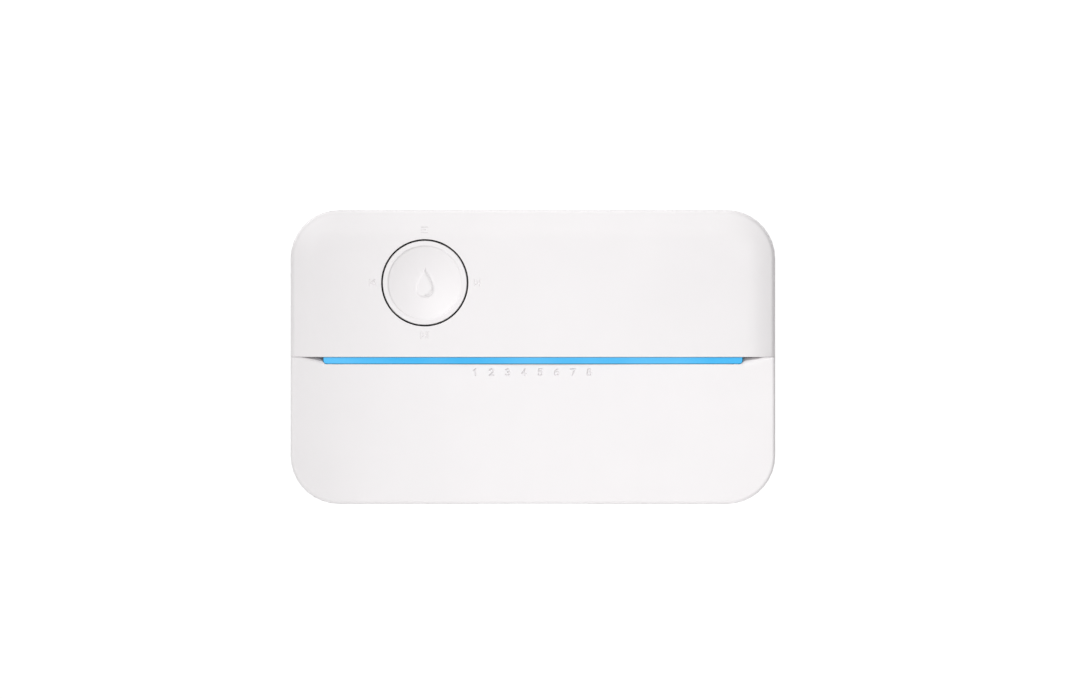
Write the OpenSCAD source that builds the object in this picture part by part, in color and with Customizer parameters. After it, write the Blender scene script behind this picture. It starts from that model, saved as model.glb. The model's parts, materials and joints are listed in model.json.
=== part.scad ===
// Wall-mounted irrigation controller with a magnetic wiring cover, a lit bar and a rocking button.
// The origin is the middle of the wall face: +X to the right, +Z up, and the front looks along -Y.
// "Depth" is the distance from the wall, so a depth of 10 is y = -10. Lengths are in millimetres.

/* [Case] */
// Width of the case
case_w = 231; // [229:0.5:236]
// Height of the case
case_h = 140; // [138:0.5:146]
// Depth from the wall to the lip of the upper shell
case_depth = 35; // [34:0.5:38]
// Corner radius of the front outline
corner_r = 23; // [21:0.5:24]
// Wall thickness of the front shells
shell_wall = 2.4; // [2:0.1:2.6]
// Wall thickness of the rear housing
rear_wall = 2.2; // [1.8:0.1:2.6]
// Depth of the rear housing's rim
rear_depth = 14; // [13:0.5:14]
// Rounding of the upper shell's front edges
edge_r = 7; // [4:0.5:8]
// Rounding of the wiring cover's front edges
cover_edge_r = 3.5; // [3:0.5:6]
// How far the upper shell falls back from the lip to the top edge
crown_z = 4.5; // [2:0.5:6]
// How far the upper shell falls back from the middle to the sides
crown_x = 4; // [2:0.5:5]

/* [Light bar] */
// Length of the light bar
bar_len = 200; // [180:1:204]
// Height of the light bar
bar_h = 3.3; // [2.8:0.1:3.4]
// Depth of the light bar's face
bar_depth = 31; // [29:0.5:31]

/* [Button] */
// Button centre, measured from the middle of the case
button_at = [-51.4, 35.3];
// Radius of the button cap
button_r = 20.15; // [18:0.05:20.2]
// Gap between the cap and the shell
button_gap = 0.6; // [0.4:0.1:0.8]
// How far the button travels when pressed
button_travel = 0.8; // [0.4:0.1:0.8]
// Depth of the button's rocking centre
rocker_depth = 25; // [25:0.1:25.4]

/* [Terminals] */
// Distance from one terminal to the next
pitch = 7.62; // [7.5:0.01:7.62]
// Number of zone terminals
zone_ways = 12; // [8:1:12]
// Number of sensor terminals
sensor_ways = 4; // [2:1:4]
// Middle of the zone terminal block
zone_x = 30; // [28:1:32]
// Middle of the sensor terminal block
sensor_x = -44; // [-46:1:-42]
// Middle of the power inlet
jack_x = -82; // [-84:1:-81]
// Bore of the power inlet's socket
jack_bore_r = 3.15; // [2.9:0.05:3.3]
// Radius of the power inlet's centre pin
jack_pin_r = 1; // [0.8:0.05:1.2]

/* [Wall fixing] */
// Distance between the two hangers, and between the two lower screw holes
fixing_w = 180; // [176:1:182]
// Height of the hangers above the middle
hanger_z = 50; // [48:1:51]
// Radius that lets a screw head through a hanger
hanger_r = 4.5; // [4:0.1:5]
// Height of the lower screw holes
lower_hole_z = -45; // [-47:1:-43]
// Radius of the lower screw holes
lower_hole_r = 2.25; // [1.8:0.05:2.5]

/* [Hidden] */
$fn = 48;
half_w = case_w / 2;
half_h = case_h / 2;
// The front shells stand this far inside the rear housing's outline
reveal = 0.5;
// Gap along every seam
seam = 0.3;
front_base = rear_depth + seam;
// Hollows are cut past their open ends by this much
past = 1;
back_wall = 2.5;
board_depth = 7;
board_t = 1.6;
board_face = board_depth + board_t;
deck_depth = 22;
deck_wall = 2;
bar_back = deck_depth;
// The wiring cover's skin at its top edge, and how far it swells forward below that
cover_top_depth = 30.5;
cover_swell = 2.5;
bay_top = -31;
block_top = -12;
block_depth = 20;
lever_pivot = [-15.4, 17.4];
rod_r = 1;
run = 0.06;
fascia_screws = [[-104, 12], [104, 12], [-62, 62], [62, 62]];
board_screws = [[-90, -8], [90, -8], [-90, 30], [90, 30], [0, 50]];
deck_screws = [[-101.5, -25], [101.5, -25]];
top_latches = [[-97.5, -12.5], [97.5, -12.5]];
low_latches = [[-104, -47], [104, -47]];
latch_post = 16;
magnet_r = 4;
magnet_t = 3;
switch_ring = 11.5;
switch_top = 4.5;
button_board_depth = 14;
button_board_r = 19;
plunger_plate = [18.4, 20.2];
// The fingers stop this far above the switches at full travel, which leaves room for the rocking
finger_gap = 0.7;
shaft_gap = 0.4;
centre_switch_top = 1;

// ---- Helpers ----

// Extrudes a front-view outline from one depth to another
module slab(from, to) {
    translate([0, -from, 0]) rotate([90, 0, 0]) linear_extrude(to - from) children();
}

// Extrudes an outline of [z, depth] points along X, centred
module side_prism(points, length) {
    rotate([90, 0, 90]) linear_extrude(length, center = true) {
        polygon([for (p = points) [-p[1], p[0]]]);
    }
}

// Extrudes an outline of [x, depth] points over the full height
module plan_prism(points) {
    linear_extrude(case_h + 2 * past, center = true) polygon([for (p = points) [p[0], -p[1]]]);
}

// Moves to a place on the front view
module at(place) {
    translate([place[0], 0, place[1]]) children();
}

// A round pin or boss along the depth
module peg(r, from, to) {
    slab(from, to) circle(r);
}

// A block given by its front-view corners and its two depths
module block(x, z, depth) {
    translate([x[0], -depth[1], z[0]]) cube([x[1] - x[0], depth[1] - depth[0], z[1] - z[0]]);
}

// A rectangle with round corners as an outline of points
function round_rect(w, h, r, steps = 9) = [
    for (corner = [0:3], i = [0:steps])
        let (turn = 90 * (corner + i / steps))
        let (cx = (w / 2 - r) * (corner == 0 || corner == 3 ? 1 : -1))
        let (cy = (h / 2 - r) * (corner < 2 ? 1 : -1))
        [cx + r * cos(turn), cy + r * sin(turn)]
];

module case_outline(inset) {
    polygon(round_rect(case_w - 2 * inset, case_h - 2 * inset, corner_r - inset));
}

// ---- Front surfaces ----

function upper_depth(z) = case_depth - crown_z * pow(z / half_h, 2);
function side_depth(x) = case_depth - crown_x * pow(x / half_w, 2);
function lower_depth(z) = cover_top_depth + cover_swell * sin(-180 * z / (1.15 * half_h));

// An edge that rounds off at "end" in steps of a quarter circle, as [place, depth] points
function rolled_edge(end, depth, r, way) = [
    for (a = [0:15:90]) [end - way * r * (1 - sin(a)), depth - r * (1 - cos(a))]
];

// Solid bounded by the upper shell's surface, with every face moved in by t
module upper_solid(t, base) {
    end_z = half_h - reveal - t;
    end_x = half_w - reveal - t;
    bend = edge_r - t;
    crest = [for (i = [0:8]) let (z = t + (end_z - bend - t) * i / 8) [z, upper_depth(z) - t]];
    crown = upper_depth(end_z - bend) - t;
    brow = side_depth(end_x - bend) - t;
    across = [for (i = [-8:8]) let (x = (end_x - bend) * i / 8) [x, side_depth(x) - t]];
    left = [for (a = [90:-15:15]) [-end_x + bend * (1 - sin(a)), brow - bend * (1 - cos(a))]];
    right = [for (p = rolled_edge(end_x, brow, bend, 1)) if (p[1] < brow) p];
    intersection() {
        slab(base, case_depth + past) case_outline(reveal + t);
        side_prism(concat([[t, base]], crest, rolled_edge(end_z, crown, bend, 1), [[end_z, base]]),
            case_w);
        plan_prism(concat([[-end_x, base]], left, across, right, [[end_x, base]]));
    }
}

// Solid bounded by the wiring cover's surface, with every face moved in by t
module lower_solid(t, base) {
    end_z = half_h - reveal - t;
    end_x = half_w - reveal - t;
    bend = cover_edge_r - t;
    start = -seam - t;
    swell = [for (i = [0:12]) let (z = start - (end_z + start - bend) * i / 12) [z, lower_depth(z) - t]];
    foot = lower_depth(bend - end_z) - t;
    brow = cover_top_depth + cover_swell - t;
    left = [for (a = [90:-15:0]) [-end_x + bend * (1 - sin(a)), brow - bend * (1 - cos(a))]];
    intersection() {
        slab(base, case_depth + past) case_outline(reveal + t);
        side_prism(concat([[start, base]], swell, rolled_edge(-end_z, foot, bend, -1),
            [[-end_z, base]]), case_w);
        plan_prism(concat([[-end_x, base]], left, rolled_edge(end_x, brow, bend, 1), [[end_x, base]]));
    }
}

// ---- Case ----

// Opening that hangs on a screw head: a round entry with a narrow slot above it
module keyhole() {
    circle(hanger_r);
    translate([-2.2, 0]) square([4.4, 9]);
    translate([0, 9]) circle(2.2);
}

module rear_housing() {
    hangers = [[-fixing_w / 2, hanger_z], [fixing_w / 2, hanger_z]];
    lower_holes = [[-fixing_w / 2, lower_hole_z], [fixing_w / 2, lower_hole_z]];
    color("whitesmoke") difference() {
        union() {
            difference() {
                slab(0, rear_depth) case_outline(0);
                slab(back_wall, rear_depth + past) case_outline(rear_wall);
            }
            for (p = hangers) at(p) block([-7.5, 7.5], [-7, 13.5], [2, 8]);
            for (p = lower_holes) at(p) peg(6, 2, 3.5);
            for (p = fascia_screws) at(p) peg(5, 2, rear_depth);
            for (p = board_screws) at(p) peg(3, 2, board_depth);
            for (p = deck_screws) at(p) peg(2.4, 2, board_depth);
            for (p = low_latches) at(p) peg(5.5, 2, latch_post);
            block([-38, 38], [-64, -38], [2, 4]);
        }
        for (p = hangers) at(p) slab(-past, 3) keyhole();
        for (p = hangers) at(p) block([-6, 6], [-5.8, 12], [back_wall, 6.8]);
        for (p = lower_holes) at(p) peg(lower_hole_r, -past, 3.5 + past);
        for (p = fascia_screws) at(p) peg(3.4, -past, 5);
        for (p = fascia_screws) at(p) peg(1.6, 4, rear_depth + past);
        for (p = board_screws) at(p) peg(1.25, 3, board_depth + past);
        for (p = deck_screws) at(p) peg(1.25, 3, board_depth + past);
        for (x = [-98, 98], z = [-24, 25]) at([x, z]) peg(6, -past, 1);
        // Windows for the cables: one through the back, one through the bottom edge
        block([-36, 36], [-62, -40], [-past, 5]);
        block([-26, 26], [-half_h - past, -half_h + 6], [3.5, rear_depth + past]);
        // Shallow seat for the blank label
        block([-30, 30], [15, 45], [-past, 0.25]);
    }
}

module front_fascia() {
    color("white") difference() {
        union() {
            difference() {
                upper_solid(0, front_base);
                difference() {
                    upper_solid(shell_wall, 5);
                    // The lip wall is thinner than the skin, so it is kept out of the hollow
                    block([-half_w, half_w], [0, 1.6], [0, case_depth]);
                }
                block([-108.6, 108.6], [-past, shell_wall + past], [0, deck_depth + 0.4]);
            }
            for (p = fascia_screws) intersection() {
                at(p) peg(4.2, rear_depth, case_depth);
                upper_solid(shell_wall / 2, 5);
            }
        }
        at(button_at) peg(button_r + button_gap, 5, case_depth + past);
        for (p = fascia_screws) at(p) peg(1.3, 5, 25);
    }
}

module wiring_cover() {
    notch = bar_len / 2 + seam;
    notch_z = -bar_h - 0.5;
    color("white") difference() {
        union() {
            difference() {
                lower_solid(0, front_base);
                lower_solid(shell_wall, 5);
                // Room for the terminal deck and the light bar
                block([-108.6, 108.6], [bay_top - past, past], [0, deck_depth + 0.4]);
                block([-notch, notch], [notch_z, past], [0, case_depth]);
            }
            intersection() {
                block([-notch - 1, notch + 1], [notch_z - 1.6, notch_z], [deck_depth + 0.6, case_depth]);
                lower_solid(shell_wall / 2, 5);
            }
            for (p = top_latches) intersection() {
                at(p) peg(5.6, deck_depth + 0.4, case_depth);
                lower_solid(shell_wall / 2, 5);
            }
            for (p = low_latches) intersection() {
                at(p) peg(5.6, latch_post + 1.6, case_depth);
                lower_solid(shell_wall / 2, 5);
            }
        }
        for (p = top_latches) at(p) peg(magnet_r, deck_depth, deck_depth + 0.5 + magnet_t);
        for (p = low_latches) at(p) peg(magnet_r, latch_post, latch_post + 1.7 + magnet_t);
    }
}

module cover_magnets() {
    color("silver") {
        for (p = top_latches) at(p) peg(magnet_r, deck_depth + 0.5, deck_depth + 0.5 + magnet_t);
        for (p = low_latches) at(p) peg(magnet_r, latch_post + 1.7, latch_post + 1.7 + magnet_t);
    }
}

module latch_plates() {
    color("lightsteelblue") {
        for (p = top_latches) at(p) block([-5.8, 5.8], [-4.8, 4.8], [deck_depth - 1.2, deck_depth]);
        for (p = low_latches) at(p) peg(4.5, latch_post, latch_post + 1.2);
    }
}

module rear_pads() {
    color("dimgray") for (x = [-98, 98], z = [-24, 25]) at([x, z]) peg(5.8, 0.05, 1);
}

module blank_label() {
    color("gainsboro") block([-29.8, 29.8], [15.2, 44.8], [0.05, 0.25]);
}

// ---- Light bar ----

module light_bar() {
    r = 1.2;
    low = -bar_h - 0.15;
    color("deepskyblue") slab(bar_back, bar_depth) difference() {
        translate([-bar_len / 2, low]) square([bar_len, bar_h]);
        for (side = [-1, 1]) difference() {
            translate([side * (bar_len / 2 - r / 2) - r / 2 - 0.01, low - 0.01]) square([r + 0.02, r]);
            translate([side * (bar_len / 2 - r), low + r]) circle(r);
        }
    }
}

// Black channel that leads the light forward and keeps it off the rest of the case
module light_baffle() {
    color("dimgray") difference() {
        block([-104.5, 104.5], [-4.4, 0.8], [board_face + 0.2, bar_back]);
        block([-98, 98], [-3.5, -0.1], [board_face, bar_back + past]);
    }
}

module zone_leds() {
    color("lightyellow") for (i = [0:23]) {
        at([(i - 11.5) * 8, -1.8]) block([-1.6, 1.6], [-0.8, 0.8], [board_face, board_face + 0.8]);
    }
}

// ---- Electronics ----

module main_board() {
    color("darkgreen") difference() {
        block([-96, 96], [-26, 56], [board_depth, board_face]);
        for (side = [-1, 1]) block([side * 88 - 10, side * 88 + 10], [38, 60], [0, rear_depth]);
        for (p = board_screws) at(p) peg(1.4, 0, rear_depth);
    }
}

module zone_triacs() {
    color("dimgray") for (i = [0:7]) at([40 + (i - 3.5) * 9.5, 9]) {
        block([-3.3, 3.3], [-3, 3.1], [board_face, board_face + 2.3]);
        block([-2.7, 2.7], [3.1, 5], [board_face, board_face + 0.5]);
        for (x = [-2.3, 2.3]) block([x - 0.4, x + 0.4], [-5.4, -3], [board_face, board_face + 0.5]);
    }
}

module wifi_module() {
    color("silver") at([64, 39]) {
        block([-12.7, 12.7], [-9, 9], [board_face, board_face + 0.8]);
        block([-12, 6], [-8, 8], [board_face + 0.8, board_face + 3.1]);
    }
}

module microcontroller() {
    color("dimgray") at([20, 30]) difference() {
        union() {
            block([-6, 6], [-6, 6], [board_face + 0.1, board_face + 1.4]);
            for (turn = [0:90:270], i = [-5:5]) rotate([0, turn, 0]) {
                block([i - 0.2, i + 0.2], [5.8, 7.4], [board_face, board_face + 0.5]);
            }
        }
        at([-4.4, 4.4]) peg(0.6, board_face + 1.2, board_face + 3);
    }
}

module capacitors() {
    color("slategray") for (z = [8.5, 20.5]) at([-84, z]) {
        peg(5, board_face, board_face + 1.5);
        peg(4.7, board_face + 1.5, board_face + 2.2);
        peg(5, board_face + 2.2, board_face + 16);
    }
}

module inductor() {
    color("gray") at([-67, 7]) {
        block([-6, 6], [-6, 6], [board_face, board_face + 2]);
        peg(4.6, board_face + 2, board_face + 5);
        peg(5.6, board_face + 5, board_face + 7);
    }
}

module bridge_rectifier() {
    color("dimgray") at([-51, 6]) {
        block([-4.5, 4.5], [-3.2, 3.2], [board_face + 0.4, board_face + 3]);
        for (x = [-3, 3]) block([x - 0.6, x + 0.6], [-4.8, 4.8], [board_face, board_face + 0.7]);
    }
}

module fuse() {
    fuse_depth = board_face + 4;
    color("lightgray") translate([-27, -fuse_depth, 6.5]) rotate([0, 90, 0]) {
        cylinder(h = 20, r = 2.4, center = true);
        for (side = [-1, 1]) translate([0, 0, side * 8]) cylinder(h = 5, r = 2.6, center = true);
    }
}

module fuse_clips() {
    fuse_depth = board_face + 4;
    color("silver") for (x = [-35, -19]) difference() {
        at([x, 6.5]) block([-2, 2], [-3.4, 3.4], [board_face, fuse_depth + 1.6]);
        translate([x, -fuse_depth, 6.5]) rotate([0, 90, 0]) cylinder(h = 6, r = 2.65, center = true);
        at([x, 6.5]) block([-3, 3], [-2.2, 2.2], [fuse_depth, fuse_depth + 5]);
    }
}

module varistor() {
    color("royalblue") translate([-7, -board_face - 6, 8]) rotate([0, 90, 0]) {
        cylinder(h = 4, r = 5.5, center = true);
    }
    color("silver") for (z = [5.5, 10.5]) at([-7, z]) peg(0.4, board_face, board_face + 3);
}

// ---- Power inlet ----

module dc_jack() {
    color("dimgray") difference() {
        block([jack_x - 5, jack_x + 5], [bay_top, -17], [board_face, board_face + 11]);
        translate([jack_x, -14.1, bay_top - past]) cylinder(h = 10 + past, r = jack_bore_r);
        translate([jack_x, -14.1, bay_top + 9]) cylinder(h = 3, r = 1.7);
    }
}

module dc_jack_pin() {
    color("silver") translate([jack_x, -14.1, 0]) {
        translate([0, 0, bay_top + 10]) cylinder(h = 1.9, r = 1.65);
        translate([0, 0, bay_top + 1.5]) cylinder(h = 8.5, r = jack_pin_r);
    }
}

// ---- Terminals ----

function way_x(i, ways) = (i - (ways + 1) / 2) * pitch;
function block_w(ways) = ways * pitch + 2.2;

module terminal_block(ways) {
    w = block_w(ways);
    difference() {
        block([-w / 2, w / 2], [bay_top, block_top], [board_face, block_depth]);
        for (i = [1:ways]) translate([way_x(i, ways), 0, 0]) {
            block([-3.1, 3.1], [bay_top + 1.8, block_top - 1], [10, block_depth + past]);
            translate([0, -11.9, bay_top - past]) cylinder(h = 4, r = 1.5);
        }
        translate([0, -lever_pivot[1], lever_pivot[0]]) rotate([0, 90, 0]) {
            cylinder(h = w - 1, r = rod_r + 0.05, center = true);
        }
    }
}

module zone_terminal_block() {
    color("lightgray") translate([zone_x, 0, 0]) terminal_block(zone_ways);
}

module sensor_terminal_block() {
    color("lightgray") translate([sensor_x, 0, 0]) terminal_block(sensor_ways);
}

// Bent steel leaf that grips a wire, one in each pocket
module clamp_leaf() {
    side_prism([[-17, 10], [-27.2, 10], [-28.2, 12.4], [-27.8, 12.6], [-26.8, 10.4], [-17, 10.4]], 4.8);
}

module clamp_springs() {
    color("silver") {
        for (i = [1:zone_ways]) translate([zone_x + way_x(i, zone_ways), 0, 0]) clamp_leaf();
        for (i = [1:sensor_ways]) translate([sensor_x + way_x(i, sensor_ways), 0, 0]) clamp_leaf();
    }
}

module lever_rod(x, ways) {
    color("silver") translate([x, -lever_pivot[1], lever_pivot[0]]) rotate([0, 90, 0]) {
        cylinder(h = block_w(ways) - 1.2, r = rod_r, center = true);
    }
}

module zone_lever_rod() lever_rod(zone_x, zone_ways);
module sensor_lever_rod() lever_rod(sensor_x, sensor_ways);

// Finger tab that opens one clamp: a round hub on the rod, a bar and a ribbed pad
module lever(x) {
    hub = lever_pivot;
    ribs = [for (i = [0:4]) each [[-22.2 - i, 22.2], [-22.7 - i, 21.8]]];
    color("orange") translate([x, 0, 0]) difference() {
        union() {
            translate([0, -hub[1], hub[0]]) rotate([0, 90, 0]) cylinder(h = 5.6, r = 2, center = true);
            side_prism(concat([[hub[0], 16], [hub[0], 19.2], [-19.5, 19.2], [-21.2, 22.2]], ribs,
                [[-27.8, 22.2], [-27.8, 16.2]]), 5.6);
        }
        translate([0, -hub[1], hub[0]]) rotate([0, 90, 0]) cylinder(h = 8, r = rod_r + run, center = true);
    }
}

// Inner cover that closes the electronics bay and frames the terminals
module terminal_deck() {
    color("white") difference() {
        union() {
            difference() {
                block([-106, 106], [bay_top, -4.6], [2.8, deck_depth]);
                block([-104, 104], [bay_top + 1.8, 0], [0, deck_depth - deck_wall]);
            }
            for (p = deck_screws) at(p) peg(3.5, board_depth, deck_depth);
        }
        for (b = [[zone_x, zone_ways], [sensor_x, sensor_ways]]) {
            w = block_w(b[1]) / 2 + seam;
            block([b[0] - w, b[0] + w], [bay_top - past, block_top + 0.4], [0, deck_depth + past]);
        }
        block([jack_x - 5.3, jack_x + 5.3], [bay_top - past, bay_top + 3], [0, deck_depth - deck_wall]);
        for (p = deck_screws) at(p) peg(1.4, 0, deck_depth + past);
        for (p = top_latches) at(p) block([-6, 6], [-5, 5], [deck_depth - 1.2, deck_depth + past]);
        block([-61, 77.2], [-10.6, -6.2], [deck_depth - 0.3, deck_depth + past]);
    }
}

module label_strip() {
    color("gainsboro") block([-60.8, 77], [-10.4, -6.4], [deck_depth - 0.3, deck_depth - 0.05]);
}

// ---- Button ----

// Black ring behind the gap, with a flange that hides the works
module button_sleeve() {
    lip = button_r + button_gap;
    color("dimgray") difference() {
        union() {
            intersection() {
                at(button_at) peg(lip + 1.6, 20.8, case_depth);
                upper_solid(shell_wall + 0.05, 5);
            }
            for (turn = [45:90:315]) at(button_at) rotate([0, turn, 0]) at([15.5, 0]) peg(2.2, 15.6, 21);
        }
        at(button_at) peg(lip + 0.15, 22, case_depth + past);
        at(button_at) peg(13.3, 20, case_depth);
        for (turn = [45:90:315]) at(button_at) rotate([0, turn, 0]) at([15.5, 0]) peg(0.95, 15, 20);
    }
}

module button_board() {
    color("darkgreen") at(button_at) difference() {
        peg(button_board_r, button_board_depth, button_board_depth + board_t);
        peg(4.7, 10, 20);
        for (turn = [45:90:315]) rotate([0, turn, 0]) at([15.5, 0]) peg(1.1, 10, 20);
    }
}

module button_header() {
    color("dimgray") at(button_at) block([-5, 5], [-16.4, -11.4], [board_face, button_board_depth]);
}

module tact_switches() {
    top = button_board_depth + board_t;
    color("silver") for (turn = [0:90:270]) at(button_at) rotate([0, turn, 0]) at([switch_ring, 0]) {
        block([-3, 3], [-3, 3], [top, top + switch_top - 1]);
        peg(1.6, top + switch_top - 1, top + switch_top);
    }
}

module centre_switch() {
    color("silver") at(button_at) {
        block([-3, 3], [-3, 3], [board_face, board_face + 0.7]);
        peg(1.6, board_face + 0.7, board_face + centre_switch_top);
    }
}

module plunger_guide() {
    color("dimgray") at(button_at) difference() {
        peg(4.65, 12, 16.8);
        peg(3 + run, 11, 18);
    }
}

// Coil spring between the button board and the plunger, as a wire swept round its axis
module return_spring() {
    coil_r = 6;
    wire_r = 0.2;
    turns = 3;
    steps = 16 * turns;
    sides = 6;
    start = button_board_depth + board_t + wire_r + 0.02;
    rise = plunger_plate[0] - start - wire_r - 0.02;
    points = [
        for (i = [0:steps], j = [0:sides - 1])
            let (turn = 360 * turns * i / steps)
            let (side = 360 * j / sides)
            let (r = coil_r + wire_r * cos(side))
            [r * cos(turn), -(start + rise * i / steps + wire_r * sin(side)), r * sin(turn)]
    ];
    walls = [
        for (i = [0:steps - 1], j = [0:sides - 1])
            let (k = (j + 1) % sides)
            [i * sides + j, (i + 1) * sides + j, (i + 1) * sides + k, i * sides + k]
    ];
    ends = [[for (j = [0:sides - 1]) j], [for (j = [sides - 1:-1:0]) steps * sides + j]];
    color("silver") at(button_at) polyhedron(points, concat(walls, ends));
}

// Sliding carrier: a round shaft, a plate, and two ears that hold the cross
module button_plunger() {
    color("gray") at(button_at) difference() {
        union() {
            peg(3, board_face + centre_switch_top + button_travel + shaft_gap, plunger_plate[1]);
            block([-7.4, 7.4], [-2.9, 2.9], plunger_plate);
            for (side = [-1, 1]) {
                block([side * 5.9 - 1.5, side * 5.9 + 1.5], [-2.9, 2.9], [19, rocker_depth + 2.3]);
            }
        }
        translate([0, -rocker_depth, 0]) rotate([0, 90, 0]) cylinder(h = 20, r = 1.5 + run, center = true);
    }
}

// Cross with four round ends, which lets the cap rock both ways
module pivot_cross() {
    color("lightgray") at(button_at) translate([0, -rocker_depth, 0]) {
        cube([7.4, 4, 7.4], center = true);
        rotate([0, 90, 0]) cylinder(h = 14.4, r = 1.5, center = true);
        cylinder(h = 14.4, r = 1.5, center = true);
    }
}

// Round cap with a shallow dish, a skirt, two ears on the cross and four fingers over the switches
module button_cap() {
    top = upper_depth(button_at[1]) - 0.2;
    finger_tip = button_board_depth + board_t + switch_top + button_travel + finger_gap;
    dish_r = 18.4;
    dish_deep = 1;
    ball_r = (dish_r * dish_r + dish_deep * dish_deep) / (2 * dish_deep);
    color("white") difference() {
        union() {
            intersection() {
                at(button_at) peg(button_r, 29.5, case_depth);
                upper_solid(0.2, 5);
            }
            at(button_at) difference() {
                peg(button_r, 24.5, 30);
                peg(17.6, 24, 29.6);
            }
            for (side = [-1, 1]) at(button_at) {
                block([-2.9, 2.9], [side * 5.9 - 1.5, side * 5.9 + 1.5], [rocker_depth - 2.3, 30]);
            }
            for (turn = [0:90:270]) at(button_at) rotate([0, turn, 0]) {
                at([switch_ring, 0]) peg(1.2, finger_tip, 30);
            }
        }
        at(button_at) translate([0, -rocker_depth, 0]) cylinder(h = 20, r = 1.5 + run, center = true);
        at(button_at) translate([0, -top + dish_deep - ball_r, 0]) sphere(r = ball_r, $fn = 200);
    }
}

// ---- Fasteners ----

// Pan-head screw whose head lies from one depth to the next and whose shank ends at "tip"
module screw(head_r, head, shank_r, tip) {
    way = tip > head[0] ? 1 : -1;
    face = way > 0 ? head[0] : head[1];
    difference() {
        union() {
            peg(head_r, head[0], head[1]);
            peg(shank_r, min(tip, head[0]), max(tip, head[1]));
        }
        for (turn = [0, 90]) rotate([0, turn, 0]) {
            block([-head_r * 0.6, head_r * 0.6], [-0.3, 0.3], [face - 0.7, face + 0.7]);
        }
    }
}

module fascia_screws() {
    color("silver") for (p = fascia_screws) at(p) screw(3, [3, 5], 1.25, 24);
}

module board_screws() {
    color("silver") for (p = board_screws) at(p) screw(2.6, [board_face, board_face + 1.6], 1.15, 3.2);
}

module deck_screws() {
    color("silver") for (p = deck_screws) at(p) screw(2.8, [deck_depth, deck_depth + 1.6], 1.15, 3.2);
}

module button_board_screws() {
    color("silver") for (turn = [45:90:315]) at(button_at) rotate([0, turn, 0]) at([15.5, 0]) {
        screw(1.8, [button_board_depth - 1.2, button_board_depth], 0.85, 19.5);
    }
}

rear_housing();
front_fascia();
wiring_cover();
light_bar();
light_baffle();
main_board();
zone_leds();
zone_triacs();
wifi_module();
microcontroller();
capacitors();
inductor();
bridge_rectifier();
fuse();
fuse_clips();
varistor();
dc_jack();
dc_jack_pin();
zone_terminal_block();
sensor_terminal_block();
clamp_springs();
zone_lever_rod();
sensor_lever_rod();
terminal_deck();
label_strip();
latch_plates();
cover_magnets();
button_sleeve();
button_board();
button_header();
tact_switches();
centre_switch();
plunger_guide();
return_spring();
button_plunger();
pivot_cross();
button_cap();
board_screws();
fascia_screws();
deck_screws();
button_board_screws();
rear_pads();
blank_label();
for (i = [1:zone_ways]) {
    lever(zone_x + way_x(i, zone_ways));
}
for (i = [1:sensor_ways]) {
    lever(sensor_x + way_x(i, sensor_ways));
}
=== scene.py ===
import json
import math

import bmesh
import bpy
import numpy as np
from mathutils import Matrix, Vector
from mathutils.geometry import delaunay_2d_cdt


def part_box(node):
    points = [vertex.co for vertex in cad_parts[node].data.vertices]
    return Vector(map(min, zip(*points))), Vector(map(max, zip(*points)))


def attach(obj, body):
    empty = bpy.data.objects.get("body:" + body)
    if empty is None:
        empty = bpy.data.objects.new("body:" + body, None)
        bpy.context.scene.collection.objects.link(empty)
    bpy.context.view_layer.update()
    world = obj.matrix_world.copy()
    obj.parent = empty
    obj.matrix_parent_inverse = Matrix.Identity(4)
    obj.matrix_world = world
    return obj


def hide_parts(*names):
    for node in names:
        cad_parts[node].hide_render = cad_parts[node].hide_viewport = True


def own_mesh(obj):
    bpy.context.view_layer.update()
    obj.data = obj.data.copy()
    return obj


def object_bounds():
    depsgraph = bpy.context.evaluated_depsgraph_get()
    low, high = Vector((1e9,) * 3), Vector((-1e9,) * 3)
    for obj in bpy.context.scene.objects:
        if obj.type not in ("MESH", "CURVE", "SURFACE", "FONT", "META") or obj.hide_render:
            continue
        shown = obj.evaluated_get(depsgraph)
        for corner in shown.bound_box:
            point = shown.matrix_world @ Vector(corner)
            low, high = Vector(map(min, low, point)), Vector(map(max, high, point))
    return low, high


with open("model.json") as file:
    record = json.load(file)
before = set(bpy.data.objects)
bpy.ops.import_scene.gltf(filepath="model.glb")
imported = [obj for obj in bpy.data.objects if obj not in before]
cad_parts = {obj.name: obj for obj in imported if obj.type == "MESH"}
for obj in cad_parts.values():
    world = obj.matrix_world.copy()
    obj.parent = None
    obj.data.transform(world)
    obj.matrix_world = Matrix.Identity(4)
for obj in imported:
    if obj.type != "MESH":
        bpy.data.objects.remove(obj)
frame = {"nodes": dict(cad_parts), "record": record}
cad_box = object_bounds()

# Lengths are in millimetres up to the point where a mesh is made. "Depth" is the distance from the
# wall, so a depth of 10 is y = -0.010.
MM = 0.001


# ---- Sizes taken from the frame ----

def box_mm(node):
    """The x, z and depth ranges of a CAD node, in millimetres."""
    low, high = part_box(node)
    return (low.x / MM, high.x / MM), (low.z / MM, high.z / MM), (-high.y / MM, -low.y / MM)


HALF_W = cad_box[1].x / MM
HALF_H = cad_box[1].z / MM
CASE_DEPTH = -cad_box[0].y / MM
fascia_x, fascia_z, fascia_depths = box_mm("front_fascia")
bar_x, bar_z, bar_depths = box_mm("light_bar")
cap_x, cap_z, _ = box_mm("button_cap")
SHELL_X, SHELL_Z, RIM = fascia_x[1], fascia_z[1], fascia_depths[0]
CAP_X, CAP_Z = (cap_x[0] + cap_x[1]) / 2, (cap_z[0] + cap_z[1]) / 2
CAP_R = (cap_x[1] - cap_x[0]) / 2


# ---- Sizes of the front shells ----

# Both shells: the corners of the outline, the rolled edges, and the walls
CORNER_R = 22.5
EDGE_R = 2.0
COVER_EDGE_R = 1.5
INNER_EDGE_R = 0.8
WALL = 2.2
LIP_WALL = 1.6

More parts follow.
